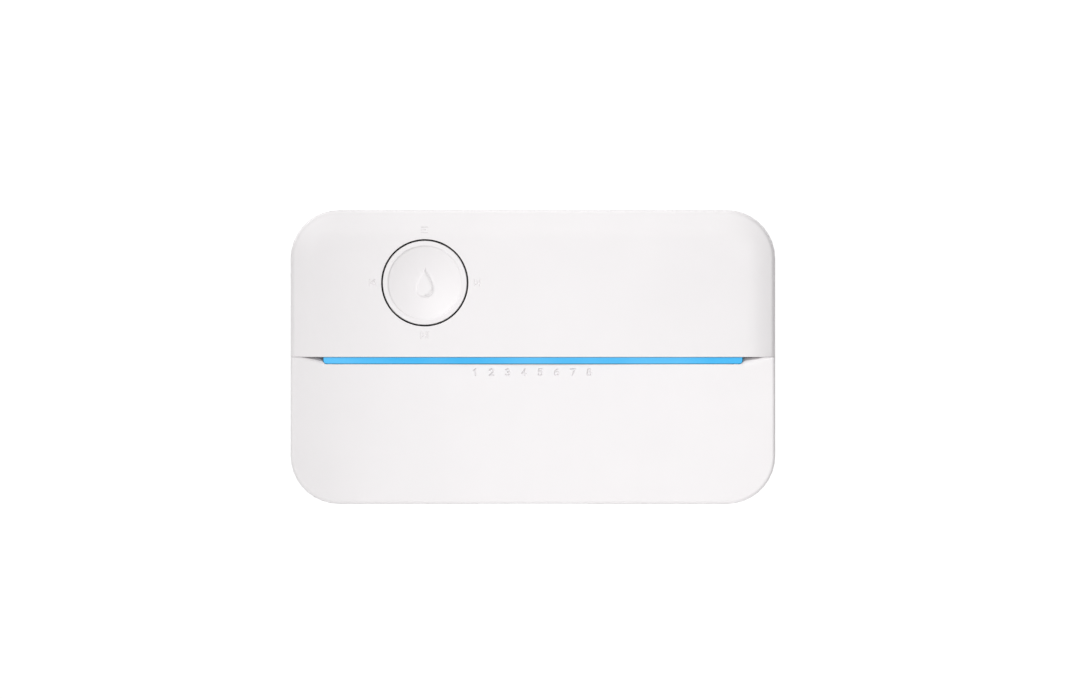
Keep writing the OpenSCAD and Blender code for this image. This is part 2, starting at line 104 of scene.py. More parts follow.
# Upper shell: its lip over the bar, its crown, and the shoulder that runs along the outline
LIP_R = 0.4
CROWN_ACROSS, CROWN_UP = 4.0, 2.8
SHOULDER_W, SHOULDER_BEND, SHOULDER_SLOPE = 13.0, 8.0, 0.32

# The button's hole, and how much smaller than the CAD's the cap is
BUTTON_GAP = 0.6
HOLE_R = CAP_R + BUTTON_GAP
HOLE_EDGE_R = 0.15
HOLE_FLOOR = 20.0
CAP_SHRINK = 0.27

# Cover: the depth of its top edge, its swell from top to bottom, and its hollow from side to side
COVER_TOP = -0.1
COVER_EDGE_DEPTH = 30.1
COVER_SWELL, SWELL_SPAN = 2.5, 1.15
COVER_HOLLOW = 1.4
TOP_EDGE = 0.3

# The lit bar, and the notch for it in the cover
LENS_LOW = bar_z[0] + 0.3
LENS_SHORT = 0.4
NOTCH_X = bar_x[1] - LENS_SHORT + 0.3
NOTCH_Z = LENS_LOW - 0.25
NOTCH_R = 1.8
NOTCH_EDGE_R = 0.22

# The wedge-shaped slits at both ends of the bar
WEDGE_END = 113.4
WEDGE_H, WEDGE_FALL, WEDGE_FADE = 4.5, 5.2, 3.0
WEDGE_CURVE = 2.0

# The wiring bay, which both shells leave free
DECK_TOP = 22.4
BAY_HALF_W = 108.6
BAY_TOP, BAY_BOTTOM = 3.4, -32.0


# ---- Strokes of the marks ----

def arc(cx, cz, rx, rz, start, end, steps=9):
    """Points along part of an ellipse, angles in degrees."""
    turns = [math.radians(start + (end - start) * i / steps) for i in range(steps + 1)]
    return [(cx + rx * math.cos(a), cz + rz * math.sin(a)) for a in turns]


# The strokes of the zone numbers from 1 up, each number in a box one wide and one high
DIGITS = [
    [[(0.2, 0.78), (0.56, 1.0), (0.56, 0.0)]],
    [arc(0.5, 0.71, 0.44, 0.29, 165, -35) + [(0.05, 0.0), (0.97, 0.0)]],
    [arc(0.46, 0.75, 0.42, 0.25, 150, -90) + arc(0.46, 0.25, 0.47, 0.25, 90, -150)],
    [[(0.74, 0.0), (0.74, 1.0), (0.03, 0.28), (1.0, 0.28)]],
    [[(0.9, 1.0), (0.2, 1.0), (0.12, 0.56)] + arc(0.48, 0.32, 0.46, 0.32, 130, -150)],
    [arc(0.5, 0.3, 0.45, 0.3, 180, 540, 14), arc(0.95, 0.3, 0.9, 0.7, 180, 105)],
    [[(0.04, 1.0), (0.96, 1.0), (0.38, 0.0)]],
    [arc(0.5, 0.76, 0.37, 0.24, 0, 360, 12), arc(0.5, 0.27, 0.45, 0.27, 0, 360, 14)],
]


def placed(strokes, x, z, width, height):
    """The strokes of a unit box, moved so that the box is centred on (x, z)."""
    return [[(x + (u - 0.5) * width, z + (v - 0.5) * height) for u, v in s] for s in strokes]


ZONE_COUNT = len(DIGITS)
DIGIT_PITCH = 7.74
DIGIT_W, DIGIT_H, DIGIT_X, DIGIT_Z = 2.1, 3.0, -0.3, -7.2
DIGIT_HALF_STROKE, DIGIT_SINK = 0.3, 0.6
digit_places = [
    (DIGIT_X + (i + 0.5 - ZONE_COUNT / 2) * DIGIT_PITCH, DIGIT_Z)
    for i in range(ZONE_COUNT)
]
digit_marks = [placed(s, x, z, DIGIT_W, DIGIT_H) for s, (x, z) in zip(DIGITS, digit_places)]

# The four marks round the button
MARK_REACH = 25.0
MARK_SHORT, MARK_LONG = 2.6, 3.0
MARK_HALF_STROKE, MARK_SINK = 0.22, 0.32
PLAY_SHIFT = 0.5
BACK_MARK = [[(0.0, 0.0), (0.0, 1.0)], [(1.0, 0.0), (0.3, 0.5), (1.0, 1.0), (1.0, 0.0)]]
NEXT_MARK = [[(1.0, 0.0), (1.0, 1.0)], [(0.0, 0.0), (0.7, 0.5), (0.0, 1.0), (0.0, 0.0)]]
LIST_MARK = [[(0.0, 1.0), (1.0, 1.0)], [(0.0, 0.5), (0.75, 0.5)], [(0.0, 0.0), (1.0, 0.0)]]
PLAY_MARK = NEXT_MARK[1:] + [[(1.0, 0.0), (1.0, 1.0)], [(1.35, 0.0), (1.35, 1.0)]]
button_marks = [
    placed(BACK_MARK, CAP_X - MARK_REACH, CAP_Z, MARK_SHORT, MARK_LONG),
    placed(NEXT_MARK, CAP_X + MARK_REACH, CAP_Z, MARK_SHORT, MARK_LONG),
    placed(LIST_MARK, CAP_X, CAP_Z + MARK_REACH, MARK_LONG, MARK_SHORT),
    placed(PLAY_MARK, CAP_X - PLAY_SHIFT, CAP_Z - MARK_REACH, MARK_SHORT, MARK_LONG),
]

# Half the width of the slope at a stroke's side, and the room round a mark in which it is looked for
STROKE_SLOPE = 0.1
MARK_ROOM = 1


def stroke_distance(x, z, strokes):
    """The distance of each point to the nearest stroke."""
    best = np.full(x.shape, 1e9)
    for stroke in strokes:
        for (ax, az), (bx, bz) in zip(stroke, stroke[1:]):
            ux, uz = bx - ax, bz - az
            along = np.clip(((x - ax) * ux + (z - az) * uz) / max(ux * ux + uz * uz, 1e-9), 0, 1)
            best = np.minimum(best, np.hypot(x - ax - ux * along, z - az - uz * along))
    return best


def smooth(t):
    """0 below 0, 1 above 1, and a smooth step between."""
    t = np.clip(t, 0, 1)
    return t * t * (3 - 2 * t)


def sunk(x, z, marks, half_stroke, sink):
    """How far the marks sink the surface at each point."""
    fall = np.zeros(x.shape)
    for strokes in marks:
        points = np.array([p for s in strokes for p in s])
        low, high = points.min(0) - MARK_ROOM, points.max(0) + MARK_ROOM
        near = (x > low[0]) & (x < high[0]) & (z > low[1]) & (z < high[1])
        if near.any():
            gap = stroke_distance(x[near], z[near], strokes)
            fall[near] += sink * (1 - smooth((gap - half_stroke + STROKE_SLOPE) / (2 * STROKE_SLOPE)))
    return fall


# ---- Front surfaces, as depth over x and z ----

def round_over(distance, radius):
    """How far a rounded edge has fallen at a distance from its wall."""
    reach = np.clip(radius - distance, 0, radius)
    return radius - np.sqrt(np.maximum(radius ** 2 - reach ** 2, 0))


def outline_inset(x, z):
    """How far each point is inside the front outline."""
    qx, qz = np.abs(x) - (SHELL_X - CORNER_R), np.abs(z) - (SHELL_Z - CORNER_R)
    outside = np.hypot(np.maximum(qx, 0), np.maximum(qz, 0))
    return CORNER_R - outside - np.minimum(np.maximum(qx, qz), 0)


def crown_depth(x, z):
    """The upper shell's crown, which bends into a shoulder near the outline, without edges or marks."""
    across = CROWN_ACROSS * (x / HALF_W) ** 2
    up = CROWN_UP * (z / HALF_H) ** 2
    out = np.maximum(SHOULDER_W - outline_inset(x, z), 0)
    bent = np.minimum(out, SHOULDER_BEND)
    shoulder = SHOULDER_SLOPE * (bent ** 2 / (2 * SHOULDER_BEND) + out - bent)
    return CASE_DEPTH - np.cbrt(across ** 3 + up ** 3) - shoulder


def fascia_depth(x, z):
    """The upper shell's front, with its rounded lip, the button hole's edge and the four marks."""
    to_hole = np.hypot(x - CAP_X, z - CAP_Z) - HOLE_R
    edges = round_over(z - fascia_z[0], LIP_R) + round_over(np.maximum(to_hole, 0), HOLE_EDGE_R)
    return crown_depth(x, z) - edges - sunk(x, z, button_marks, MARK_HALF_STROKE, MARK_SINK)


def swell_depth(x, z):
    """The wiring cover's swell and hollow, without edges or marks."""
    swell = COVER_SWELL * np.sin(np.pi * np.clip(-z, 0, None) / (SWELL_SPAN * HALF_H))
    return COVER_EDGE_DEPTH + swell + COVER_HOLLOW * (x / HALF_W) ** 2


def notch_distance(x, z):
    """How far each point is from the notch round the bar, whose lower corners are round."""
    qx, qz = np.abs(x) - (NOTCH_X - NOTCH_R), NOTCH_Z + NOTCH_R - z
    return np.hypot(np.maximum(qx, 0), np.maximum(qz, 0)) + np.minimum(np.maximum(qx, qz), 0) - NOTCH_R


def cover_depth(x, z):
    """The wiring cover's front: wedges at both ends of the bar, a rounded notch and the digits."""
    below = COVER_TOP - z
    outer_end = (WEDGE_END - np.abs(x)) / (WEDGE_END - NOTCH_X)
    inner_end = 1 - (NOTCH_X - np.abs(x)) / WEDGE_FADE
    wedge = np.clip(np.minimum(outer_end, inner_end), 0, 1)
    reach = np.clip(1 - below / (TOP_EDGE + WEDGE_H * wedge), 0, 1)
    top_fall = (TOP_EDGE + WEDGE_FALL * wedge) * reach ** WEDGE_CURVE
    notch_fall = round_over(np.maximum(notch_distance(x, z), 0), NOTCH_EDGE_R)
    marks = sunk(x, z, digit_marks, DIGIT_HALF_STROKE, DIGIT_SINK)
    return swell_depth(x, z) - np.maximum(top_fall, notch_fall) - marks


# ---- Mesh helpers ----

def linked(name, data):
    """An object in the scene that shows a mesh, a light or a camera."""
    made = bpy.data.objects.new(name, data)
    bpy.context.scene.collection.objects.link(made)
    return made


def to_mesh(name, points, faces):
    """An object from (x, z, depth) points in millimetres, with its faces turned outwards."""
    mesh = bpy.data.meshes.new(name)
    mesh.from_pydata([(x * MM, -depth * MM, z * MM) for x, z, depth in points], [], faces)
    work = bmesh.new()
    work.from_mesh(mesh)
    bmesh.ops.recalc_face_normals(work, faces=work.faces)
    work.to_mesh(mesh)
    work.free()
    return linked(name, mesh)


def inside(polygon, x, z):
    """True for the points inside a closed polygon."""
    found = np.zeros(x.shape, bool)
    for (ax, az), (bx, bz) in zip(polygon, np.roll(polygon, -1, axis=0)):
        if az != bz:
            found ^= ((az > z) != (bz > z)) & (x < (bx - ax) * (z - az) / (bz - az) + ax)
    return found


# Steps round a corner of the outline, and the least distance from a row on its sides to the corner
CORNER_STEPS = 30
ROW_ROOM = 0.2


def half_outline(side, rows, inset=0.0, step=2.0):
    """Samples (x, z, inward x, inward z) of the front outline above (side 1) or below (side -1) the bar.
    They run from the left end over the far edge to the right end. rows are the heights on the sides."""
    half_x, half_z, r = SHELL_X - inset, SHELL_Z - inset, CORNER_R - inset
    left = [(-half_x, v, 1.0, 0.0) for v in rows if v < half_z - r - ROW_ROOM]
    turns = [math.radians(180 - 90 * i / CORNER_STEPS) for i in range(CORNER_STEPS + 1)]
    left += [
        (r - half_x + r * math.cos(a), half_z - r + r * math.sin(a), -math.cos(a), -math.sin(a))
        for a in turns
    ]
    count = int((half_x - r) * 2 / step)
    top = [((half_x - r) * (2 * i / count - 1), half_z, 0.0, -1.0) for i in range(1, count)]
    right = [(-x, z, -nx, nz) for x, z, nx, nz in reversed(left)]
    return [(x, side * z, nx, side * nz) for x, z, nx, nz in left + top + right]


def rolled_rings(border, bend, turns):
    """The flat points of a rolled edge, ring by ring from its wall to the front, and how far each falls."""
    flat, falls = [], []
    for k in range(turns + 1):
        a = math.pi / 2 * k / turns
        inset = bend * (1 - math.cos(a))
        flat += [(x + nx * inset, z + nz * inset) for x, z, nx, nz in border]
        falls += [bend * (1 - math.sin(a))] * len(border)
    return flat, falls


def strip_faces(ring_size, turns, closed):
    """The faces between neighbouring rings."""
    faces = []
    for k in range(turns):
        low, high = k * ring_size, (k + 1) * ring_size
        for i in range(ring_size if closed else ring_size - 1):
            j = (i + 1) % ring_size
            faces.append((low + i, low + j, high + j, high + i))
    return faces


def middle_faces(flat, loop, hole, spread):
    """Triangles over the spread points inside a closed loop, but not in the hole. All are point numbers."""
    used = loop + hole + spread
    lines = [(i, (i + 1) % len(loop)) for i in range(len(loop))]
    lines += [(len(loop) + i, len(loop) + (i + 1) % len(hole)) for i in range(len(hole))]
    made = delaunay_2d_cdt([Vector(flat[i]) for i in used], lines, [], 0, 1e-6)
    origin = [used[found[0]] for found in made[3]]
    triangles = np.array([[origin[i] for i in f] for f in made[2]])
    plane = np.array(flat)
    centre = plane[triangles].mean(1)
    keep = inside(plane[loop], centre[:, 0], centre[:, 1])
    if hole:
        keep &= ~inside(plane[hole], centre[:, 0], centre[:, 1])
    return [tuple(int(i) for i in t) for t in triangles[keep]]


def added(flat, more):
    """Adds points to a list, and gives their numbers in it."""
    flat.extend(more)
    return list(range(len(flat) - len(more), len(flat)))


def front_solid(name, border, bend, edge, spread, depth_at, base, closed=False, hole=None, turns=10):
    """A closed solid under a front surface.
    border: samples of the rolled outline, bend: its radius, edge: the points that close an open outline,
    spread: points inside it, hole: (ring of points, depth of its floor) for a pocket."""
    ring_size = len(border)
    flat, falls = rolled_rings(border, bend, turns)
    faces = strip_faces(ring_size, turns, closed)
    inner = list(range(turns * ring_size, (turns + 1) * ring_size))
    edge_ids = added(flat, edge)
    hole_ids = added(flat, hole[0] if hole else [])
    spread_ids = added(flat, spread)
    faces += middle_faces(flat, inner + edge_ids, hole_ids, spread_ids)
    falls += [0.0] * (len(flat) - len(falls))
    plane = np.array(flat)
    depths = depth_at(plane[:, 0], plane[:, 1]) - np.array(falls)
    points = [(x, z, d) for (x, z), d in zip(flat, depths)]

    # Walls from the outline down to the base, and from the hole's ring down to its floor
    rim = list(range(ring_size))
    if not closed:
        right_end = [k * ring_size + ring_size - 1 for k in range(1, turns + 1)]
        left_end = [k * ring_size for k in range(turns, 0, -1)]
        rim += right_end + edge_ids + left_end
    walls = [(rim, base)]
    if hole:
        walls.append((hole_ids, hole[1]))
    for loop, foot_depth in walls:
        foot = dict(zip(loop, added(points, [(*flat[i], foot_depth) for i in loop])))
        faces += [(i, j, foot[j], foot[i]) for i, j in zip(loop, loop[1:] + loop[:1])]
        faces.append(tuple(foot[i] for i in loop))
    return to_mesh(name, points, faces)


def lathe(profile, x, z, steps=40):
    """Points and faces of a closed profile of (radius, depth) turned about a line into the wall."""
    points = [
        (x + r * math.cos(2 * math.pi * i / steps), z + r * math.sin(2 * math.pi * i / steps), depth)
        for r, depth in profile
        for i in range(steps)
    ]
    faces = []
    rings = len(profile)
    for k in range(rings):
        low, high = k * steps, (k + 1) % rings * steps
        for i in range(steps):
            j = (i + 1) % steps
            faces.append((low + i, low + j, high + j, high + i))
    return points, faces


def tube(name, x, z, inner_r, outer_r, depths, pocket):
    """A post along the depth, with a blind hole that starts at its low end and is `pocket` deep."""
    low, high = depths
    mid = low + pocket
    tiny = 0.01
    profile = [(inner_r, low), (outer_r, low), (outer_r, high), (tiny, high), (tiny, mid), (inner_r, mid)]
    return to_mesh(name, *lathe(profile, x, z))


def block(name, xs, zs, depths):
    """A plain box that other solids are cut with."""
    points = [(x, z, d) for x in xs for z in zs for d in depths]
    faces = [(0, 1, 3, 2), (4, 6, 7, 5), (0, 4, 5, 1), (2, 3, 7, 6), (0, 2, 6, 4), (1, 5, 7, 3)]
    return to_mesh(name, points, faces)


def cut(made, *tools):
    """Cuts the tools out of a solid and removes them."""
    for tool in tools:
        boolean = made.modifiers.new("cut", "BOOLEAN")
        boolean.operation = "DIFFERENCE"
        boolean.solver = "EXACT"
        boolean.object = tool
    graph = bpy.context.evaluated_depsgraph_get()
    result = bpy.data.meshes.new_from_object(made.evaluated_get(graph))
    made.modifiers.clear()
    made.data = result
    for tool in tools:
        bpy.data.objects.remove(tool)
    return made


def join(name, *parts):
    """One object from several solids."""
    work = bmesh.new()
    for part in parts:
        work.from_mesh(part.data)
    mesh = bpy.data.meshes.new(name)
    work.to_mesh(mesh)
    work.free()
    for part in parts:
        bpy.data.objects.remove(part)
    return linked(name, mesh)


def smooth_shaded(made, angle=32):
    """Smooth shading with edges sharper than the angle kept."""
    made.data.polygons.foreach_set("use_smooth", [True] * len(made.data.polygons))
    made.data.set_sharp_from_angle(angle=math.radians(angle))
    return made


def ring(r, steps=160):
    """Points round a circle about the button's centre."""
    turns = [2 * math.pi * i / steps for i in range(steps)]
    return [(CAP_X + r * math.cos(a), CAP_Z + r * math.sin(a)) for a in turns]


def grid(xs, zs):
    """Every crossing of the two lists."""
    return [(float(x), float(z)) for x in xs for z in zs]


def kept(points, test):
    """The points for which test(x, z) is true, over arrays."""
    plane = np.array(points)
    return [tuple(p) for p in plane[test(plane[:, 0], plane[:, 1])]]


def in_patch(x, z, patches, more_w, more_h):
    """True inside any (x, z, half width, half height) patch, or within a margin round it."""
    found = np.zeros(x.shape, bool)
    for px, pz, w, h in patches:
        found |= (np.abs(x - px) < w + more_w) & (np.abs(z - pz) < h + more_h)
    return found


def patch_points(patches, step):
    """A fine grid over each patch."""
    points = []
    for px, pz, w, h in patches:
        points += grid(np.arange(px - w, px + w + 1e-6, step), np.arange(pz - h, pz + h + 1e-6, step))
    return points


# ---- Points of both shells ----

# The grid of a front surface, and its distance from the rolled edge
GRID_STEP = 2.0
COLUMNS = np.arange(-110, 111, GRID_STEP)
EDGE_ROOM = 0.8

# The coarser grid of the hollow behind it
INNER_STEP = 5.0
INNER_COLUMNS = np.arange(-105, 106, INNER_STEP)
INNER_ROWS = list(np.arange(5, 41, INNER_STEP)) + [44]
INNER_FAR_ROWS = [50, 55]
INNER_BASE = 5.0
INNER_TURNS = 5


def hollow(name, side, first_row, edge, spread_rows, edge_r, depth_at):
    """The solid that hollows out a shell: the shell's own front surface, a wall's thickness behind it."""
    clear = edge_r + EDGE_ROOM + 1
    spread = grid(INNER_COLUMNS, [side * z for z in spread_rows + INNER_FAR_ROWS])
    return front_solid(
        name, half_outline(side, [first_row] + INNER_ROWS, WALL, INNER_STEP), INNER_EDGE_R, edge,
        kept(spread, lambda x, z: outline_inset(x, z) > clear),
        lambda x, z: depth_at(x, z) - WALL, INNER_BASE, turns=INNER_TURNS,
    )


# ---- Upper shell ----

# Heights of points: close ones by the lip, then those of the grid and of the straight sides
LIP_ROWS = [0.04, 0.1, 0.18, 0.28, 0.4, 0.55, 0.8, 1.2, 1.8, 2.6]
FASCIA_ROWS = list(np.arange(4, 62, GRID_STEP))
FASCIA_SIDE_ROWS = list(np.arange(4, 46, GRID_STEP))

# A fine patch round each mark, as (x, z, half width, half height), and the room to the grid round it
MARK_PATCHES = [
    (CAP_X - MARK_REACH, CAP_Z, 2.3, 2.5),
    (CAP_X + MARK_REACH, CAP_Z, 2.3, 2.5),
    (CAP_X, CAP_Z + MARK_REACH, 2.5, 2.3),
    (CAP_X, CAP_Z - MARK_REACH, 2.8, 2.5),
]
MARK_STEP = 0.12
PATCH_ROOM = 0.5

# Rings of points round the button's hole: steps over its edge, reaches outside it, and room to the grid
HOLE_STEPS = 5
HOLE_REACHES = [0.8, 1.5, 2.4]
HOLE_ROOM = 3.2

# Screw posts: half of their places, radii, how far they reach, and their bore
POST_PLACES = [(104, 12), (62, 62)]
POST_BORE_R, POST_R = 1.3, 4.2
POST_SUNK, POST_END, POST_BORE = 0.3, 28.0, 10.7


def fascia_spread():
    """Points over the upper shell: a grid, fine patches at the marks, and rings round the button's hole."""

    def free(x, z):
        off_edge = outline_inset(x, z) > EDGE_R + EDGE_ROOM
        off_hole = np.hypot(x - CAP_X, z - CAP_Z) > HOLE_R + HOLE_ROOM
        return off_edge & off_hole & ~in_patch(x, z, MARK_PATCHES, PATCH_ROOM, PATCH_ROOM)

    spread = kept(grid(COLUMNS, LIP_ROWS + FASCIA_ROWS), free)
    spread += patch_points(MARK_PATCHES, MARK_STEP)
    for k in range(1, HOLE_STEPS + 1):
        spread += ring(HOLE_R + HOLE_EDGE_R * (1 - math.cos(math.pi / 2 * k / HOLE_STEPS)))
    for reach in HOLE_REACHES:
        spread += ring(HOLE_R + reach)
    return spread


def upper_shell():
    """The upper shell, with the button's hole, its lip over the bar and its four screw posts."""
    rows = [0.0] + LIP_ROWS + FASCIA_SIDE_ROWS
    edge = [(float(x), 0.0) for x in COLUMNS[::-1]]
    outer = front_solid(
        "fascia_outer", half_outline(1, rows), EDGE_R, edge, fascia_spread(), fascia_depth, RIM,
        hole=(ring(HOLE_R), HOLE_FLOOR),
    )
    inner_edge = [(float(x), LIP_WALL) for x in INNER_COLUMNS[::-1]]
    inner = hollow("fascia_inner", 1, LIP_WALL, inner_edge, INNER_ROWS, EDGE_R, crown_depth)
    bay = block("fascia_bay", (-BAY_HALF_W, BAY_HALF_W), (-1, BAY_TOP), (0, DECK_TOP))
    shell = cut(outer, inner, bay)
    posts = [
        tube("post", side * x, z, POST_BORE_R, POST_R, (RIM - POST_SUNK, POST_END), POST_BORE)
        for x, z in POST_PLACES
        for side in (-1, 1)
    ]
    return smooth_shaded(join("fascia_skin", shell, *posts))


# ---- Wiring cover ----

# Close points: how far they are below the cover's top edge and below the notch, how far round the
# notch's corners, and their heights on its sides
TOP_ROWS = [0, 0.05, 0.12, 0.22, 0.35, 0.5, 0.7, 0.95, 1.25, 1.6, 2.0, 2.5, 3.2]
NOTCH_ROWS = [0.03, 0.08, 0.15, 0.24, 0.35, 0.6, 1.0, 1.6]
NOTCH_REACHES = [0.04, 0.1, 0.18, 0.28, 0.36, 0.7]
NOTCH_SIDE_ROWS = [-0.7, -1.4]
NOTCH_STEPS = 12
NOTCH_ROOM, NOTCH_FLOOR_ROOM = 0.015, 0.5

# The grid below them, the rows on the straight sides, and the columns and last row over the wedges
COVER_ROWS = list(np.arange(6.5, 62, GRID_STEP))
COVER_SIDE_ROWS = list(np.arange(4.5, 46, GRID_STEP))
WEDGE_LAST_ROW = 4.5
WEDGE_COLUMNS = [NOTCH_X, 101.2, 102.2, 103.4, 104.6, 105.8, 107.0, 108.2, 109.4, 110.4, 111.4]
INNER_EDGE_X = 108.0

# A fine patch round each digit, and the room to the grid beside and below it
DIGIT_BORDER = 0.6
DIGIT_PATCHES = [(x, z, DIGIT_W / 2 + DIGIT_BORDER, DIGIT_H / 2 + DIGIT_BORDER) for x, z in digit_places]
DIGIT_STEP = 0.1
DIGIT_ROOM = (0.5, 0.4)

# Magnet bosses: half of their places and their depths, then their radii and bore
BOSS_PLACES = [(97.5, -12.5, (DECK_TOP, 30.2)), (104, -47.0, (17.6, 31.0))]
BOSS_BORE_R, BOSS_R, BOSS_BORE = 4.0, 5.6, 3.1


def notch_arc(r):
    """Points round the notch's lower right corner, from its side to its floor."""
    turns = [math.pi / 2 * i / NOTCH_STEPS for i in range(NOTCH_STEPS + 1)]
    return [
        (NOTCH_X - NOTCH_R + r * math.cos(a), NOTCH_Z + NOTCH_R - r * math.sin(a))
        for a in turns
    ]


def mirrored(right, between):
    """An edge from its right half, the points between the halves, and the right half mirrored."""
    return right + between + [(-x, z) for x, z in reversed(right)]


def cover_edge():
    """The cover's top edge with the notch, from right to left."""
    right = [(x, COVER_TOP) for x in reversed(WEDGE_COLUMNS)]
    right += [(NOTCH_X, z) for z in NOTCH_SIDE_ROWS] + notch_arc(NOTCH_R)
    reach = NOTCH_X - NOTCH_R - NOTCH_FLOOR_ROOM
    floor_columns = [float(x) for x in COLUMNS[::-1] if abs(x) < reach]
    return mirrored(right, [(x, NOTCH_Z) for x in floor_columns])


def cover_spread(edge):
    """Points over the cover: a grid, and close points by the notch, the wedges and the digits."""

    def free(x, z):
        off_edge = outline_inset(x, z) > COVER_EDGE_R + EDGE_ROOM
        return off_edge & ~in_patch(x, z, DIGIT_PATCHES, *DIGIT_ROOM)

    under_notch = COLUMNS[np.abs(COLUMNS) < NOTCH_X - NOTCH_R]
    spread = kept(grid(under_notch, [NOTCH_Z - v for v in NOTCH_ROWS]), free)
    spread += kept(grid(COLUMNS, [-v for v in COVER_ROWS]), free)
    wedge_rows = [COVER_TOP - v for v in TOP_ROWS[1:]] + [-WEDGE_LAST_ROW]
    for side in (-1, 1):
        spread += grid([side * x for x in WEDGE_COLUMNS], wedge_rows)
    spread += patch_points(DIGIT_PATCHES, DIGIT_STEP)
    on_edge = {(round(x, 3), round(z, 3)) for x, z in edge}
    spread = [p for p in dict.fromkeys(spread) if (round(p[0], 3), round(p[1], 3)) not in on_edge]
    spread = kept(spread, lambda x, z: notch_distance(x, z) > NOTCH_ROOM)
    for side in (-1, 1):
        for reach in NOTCH_REACHES:
            spread += [(side * x, z) for x, z in notch_arc(NOTCH_R + reach)]
    return spread


def lower_shell():
    """The wiring cover, with the notch for the bar and its four magnet bosses."""
    rows = [-COVER_TOP + v for v in TOP_ROWS] + COVER_SIDE_ROWS
    edge = cover_edge()
    outer = front_solid(
        "cover_outer", half_outline(-1, rows), COVER_EDGE_R, edge, cover_spread(edge), cover_depth, RIM,
    )
    inner_top, under_notch = COVER_TOP - WALL, NOTCH_Z - LIP_WALL
    right = [(INNER_EDGE_X, inner_top), (NOTCH_X + 1, inner_top), (NOTCH_X + 1, under_notch)]
    inner_edge = mirrored(right, [(float(x), under_notch) for x in INNER_COLUMNS[1:-1][::-1]])
    inner = hollow("cover_inner", -1, -inner_top, inner_edge, INNER_ROWS[1:], COVER_EDGE_R, swell_depth)
    bay = block("cover_bay", (-BAY_HALF_W, BAY_HALF_W), (BAY_BOTTOM, 1), (0, DECK_TOP))
    shell = cut(outer, inner, bay)
    bosses = [
        tube("boss", side * x, z, BOSS_BORE_R, BOSS_R, depths, BOSS_BORE)
        for x, z, depths in BOSS_PLACES
        for side in (-1, 1)
    ]
    return smooth_shaded(join("cover_skin", shell, *bosses))


# ---- Light bar ----

LENS_CORNER_R = 1.4
LENS_SOFT = 0.35
LENS_SHARP_ANGLE = 50
# The share of the face's glow that the sides have, and the share of the soft edge that glows fully
SIDE_GLOW, FULL_GLOW = 0.12, 0.3


def lens():
    """The bar: its lower corners are round, and its front edges are softened."""
    right, low, high = bar_x[1] - LENS_SHORT, LENS_LOW, bar_z[1]
    back, front = bar_depths
    corner_x, corner_z, mid = LENS_CORNER_R - right, low + LENS_CORNER_R, (high + low) / 2
    turns = [math.radians(a) for a in range(0, 91, 9)]
    outline = [(-right, high)]
    outline += [
        (corner_x - LENS_CORNER_R * math.cos(a), corner_z - LENS_CORNER_R * math.sin(a)) for a in turns
    ]
    outline += [(-x, z) for x, z in reversed(outline)]

    def shrunk(x, z, by):
        # Both ends move inwards, and the upper and lower edges towards the bar's own axis
        return x - math.copysign(by, x), z - by * max(-1, min(1, (z - mid) / (high - mid)))

    soft_turns = [math.radians(a) for a in range(0, 91, 15)]
    steps = [(0.0, back)]
    steps += [(LENS_SOFT * (1 - math.cos(a)), front - LENS_SOFT * (1 - math.sin(a))) for a in soft_turns]
    points = [(*shrunk(x, z, by), depth) for by, depth in steps for x, z in outline]
    size = len(outline)
    faces = strip_faces(size, len(steps) - 1, closed=True)
    faces.append(tuple(range(size)))
    faces.append(tuple(range(len(points) - size, len(points))))
    return smooth_shaded(to_mesh("light_lens", points, faces), LENS_SHARP_ANGLE)


# ---- Button cap ----

CAP_SUNK = 0.15
CAP_EDGE_R = 0.15
CAP_SPLIT = 29.7
CAP_STEPS = 200

# The dish inside the crease, the small step at the crease, and the rings of points that shape both
CREASE_R = 17.8
DISH = 3.5
CREASE_STEP, CREASE_W = 0.5, 0.7
CREASE_RINGS = [19.3, 18.8, 18.3, 18.0, 17.8, 17.65, 17.5, 17.35, 17.2, 17.1, 16.8, 16.3, 15.8]
CAP_GRID_HALF, CAP_GRID_R, CAP_GRID_STEP = 15, 15.2, 0.8

# The raised drop: its size, and the share of its rise that it has on each scaled outline
DROP_H, DROP_W = 13.5, 9.4
DROP_RISE = 0.7
DROP_CORE, DROP_FOOT = 0.93, 1.07
DROP_SLOPE = {0.96: 0.85, 1.0: 0.5, 1.04: 0.15}
DROP_ROOM = (0.88, 1.14)


def drop_outline(scale, steps=90):
    """A plain water drop about the button's centre."""
    widest = 0.84
    points = []
    for i in range(steps):
        t = 2 * math.pi * i / steps
        width = math.sin(t) * math.sin(t / 2) ** 1.5 / widest
        points.append((CAP_X + scale * DROP_W / 2 * width, CAP_Z + scale * DROP_H / 2 * math.cos(t)))
    return points


def in_drop(x, z, scale):
    """True for the points inside the scaled drop."""
    return inside(np.array(drop_outline(scale)), x, z)


def cap_depth(x, z):
    """The cap's front: a flat land, a crease, a shallow dish and a raised drop."""
    same_point = 1e-4
    r = np.hypot(x - CAP_X, z - CAP_Z)
    dish = DISH * np.clip(1 - (r / CREASE_R) ** 2, 0, 1)
    step = CREASE_STEP * smooth((CREASE_R - r) / CREASE_W)
    rise = np.where(in_drop(x, z, DROP_CORE), 1.0, 0.0)
    for scale, share in DROP_SLOPE.items():
        loop = np.array(drop_outline(scale))
        near = np.abs(x[:, None] - loop[:, 0]) + np.abs(z[:, None] - loop[:, 1]) < same_point
        rise = np.where(near.any(1), share, rise)
    return crown_depth(x, z) - CAP_SUNK - dish - step + DROP_RISE * rise


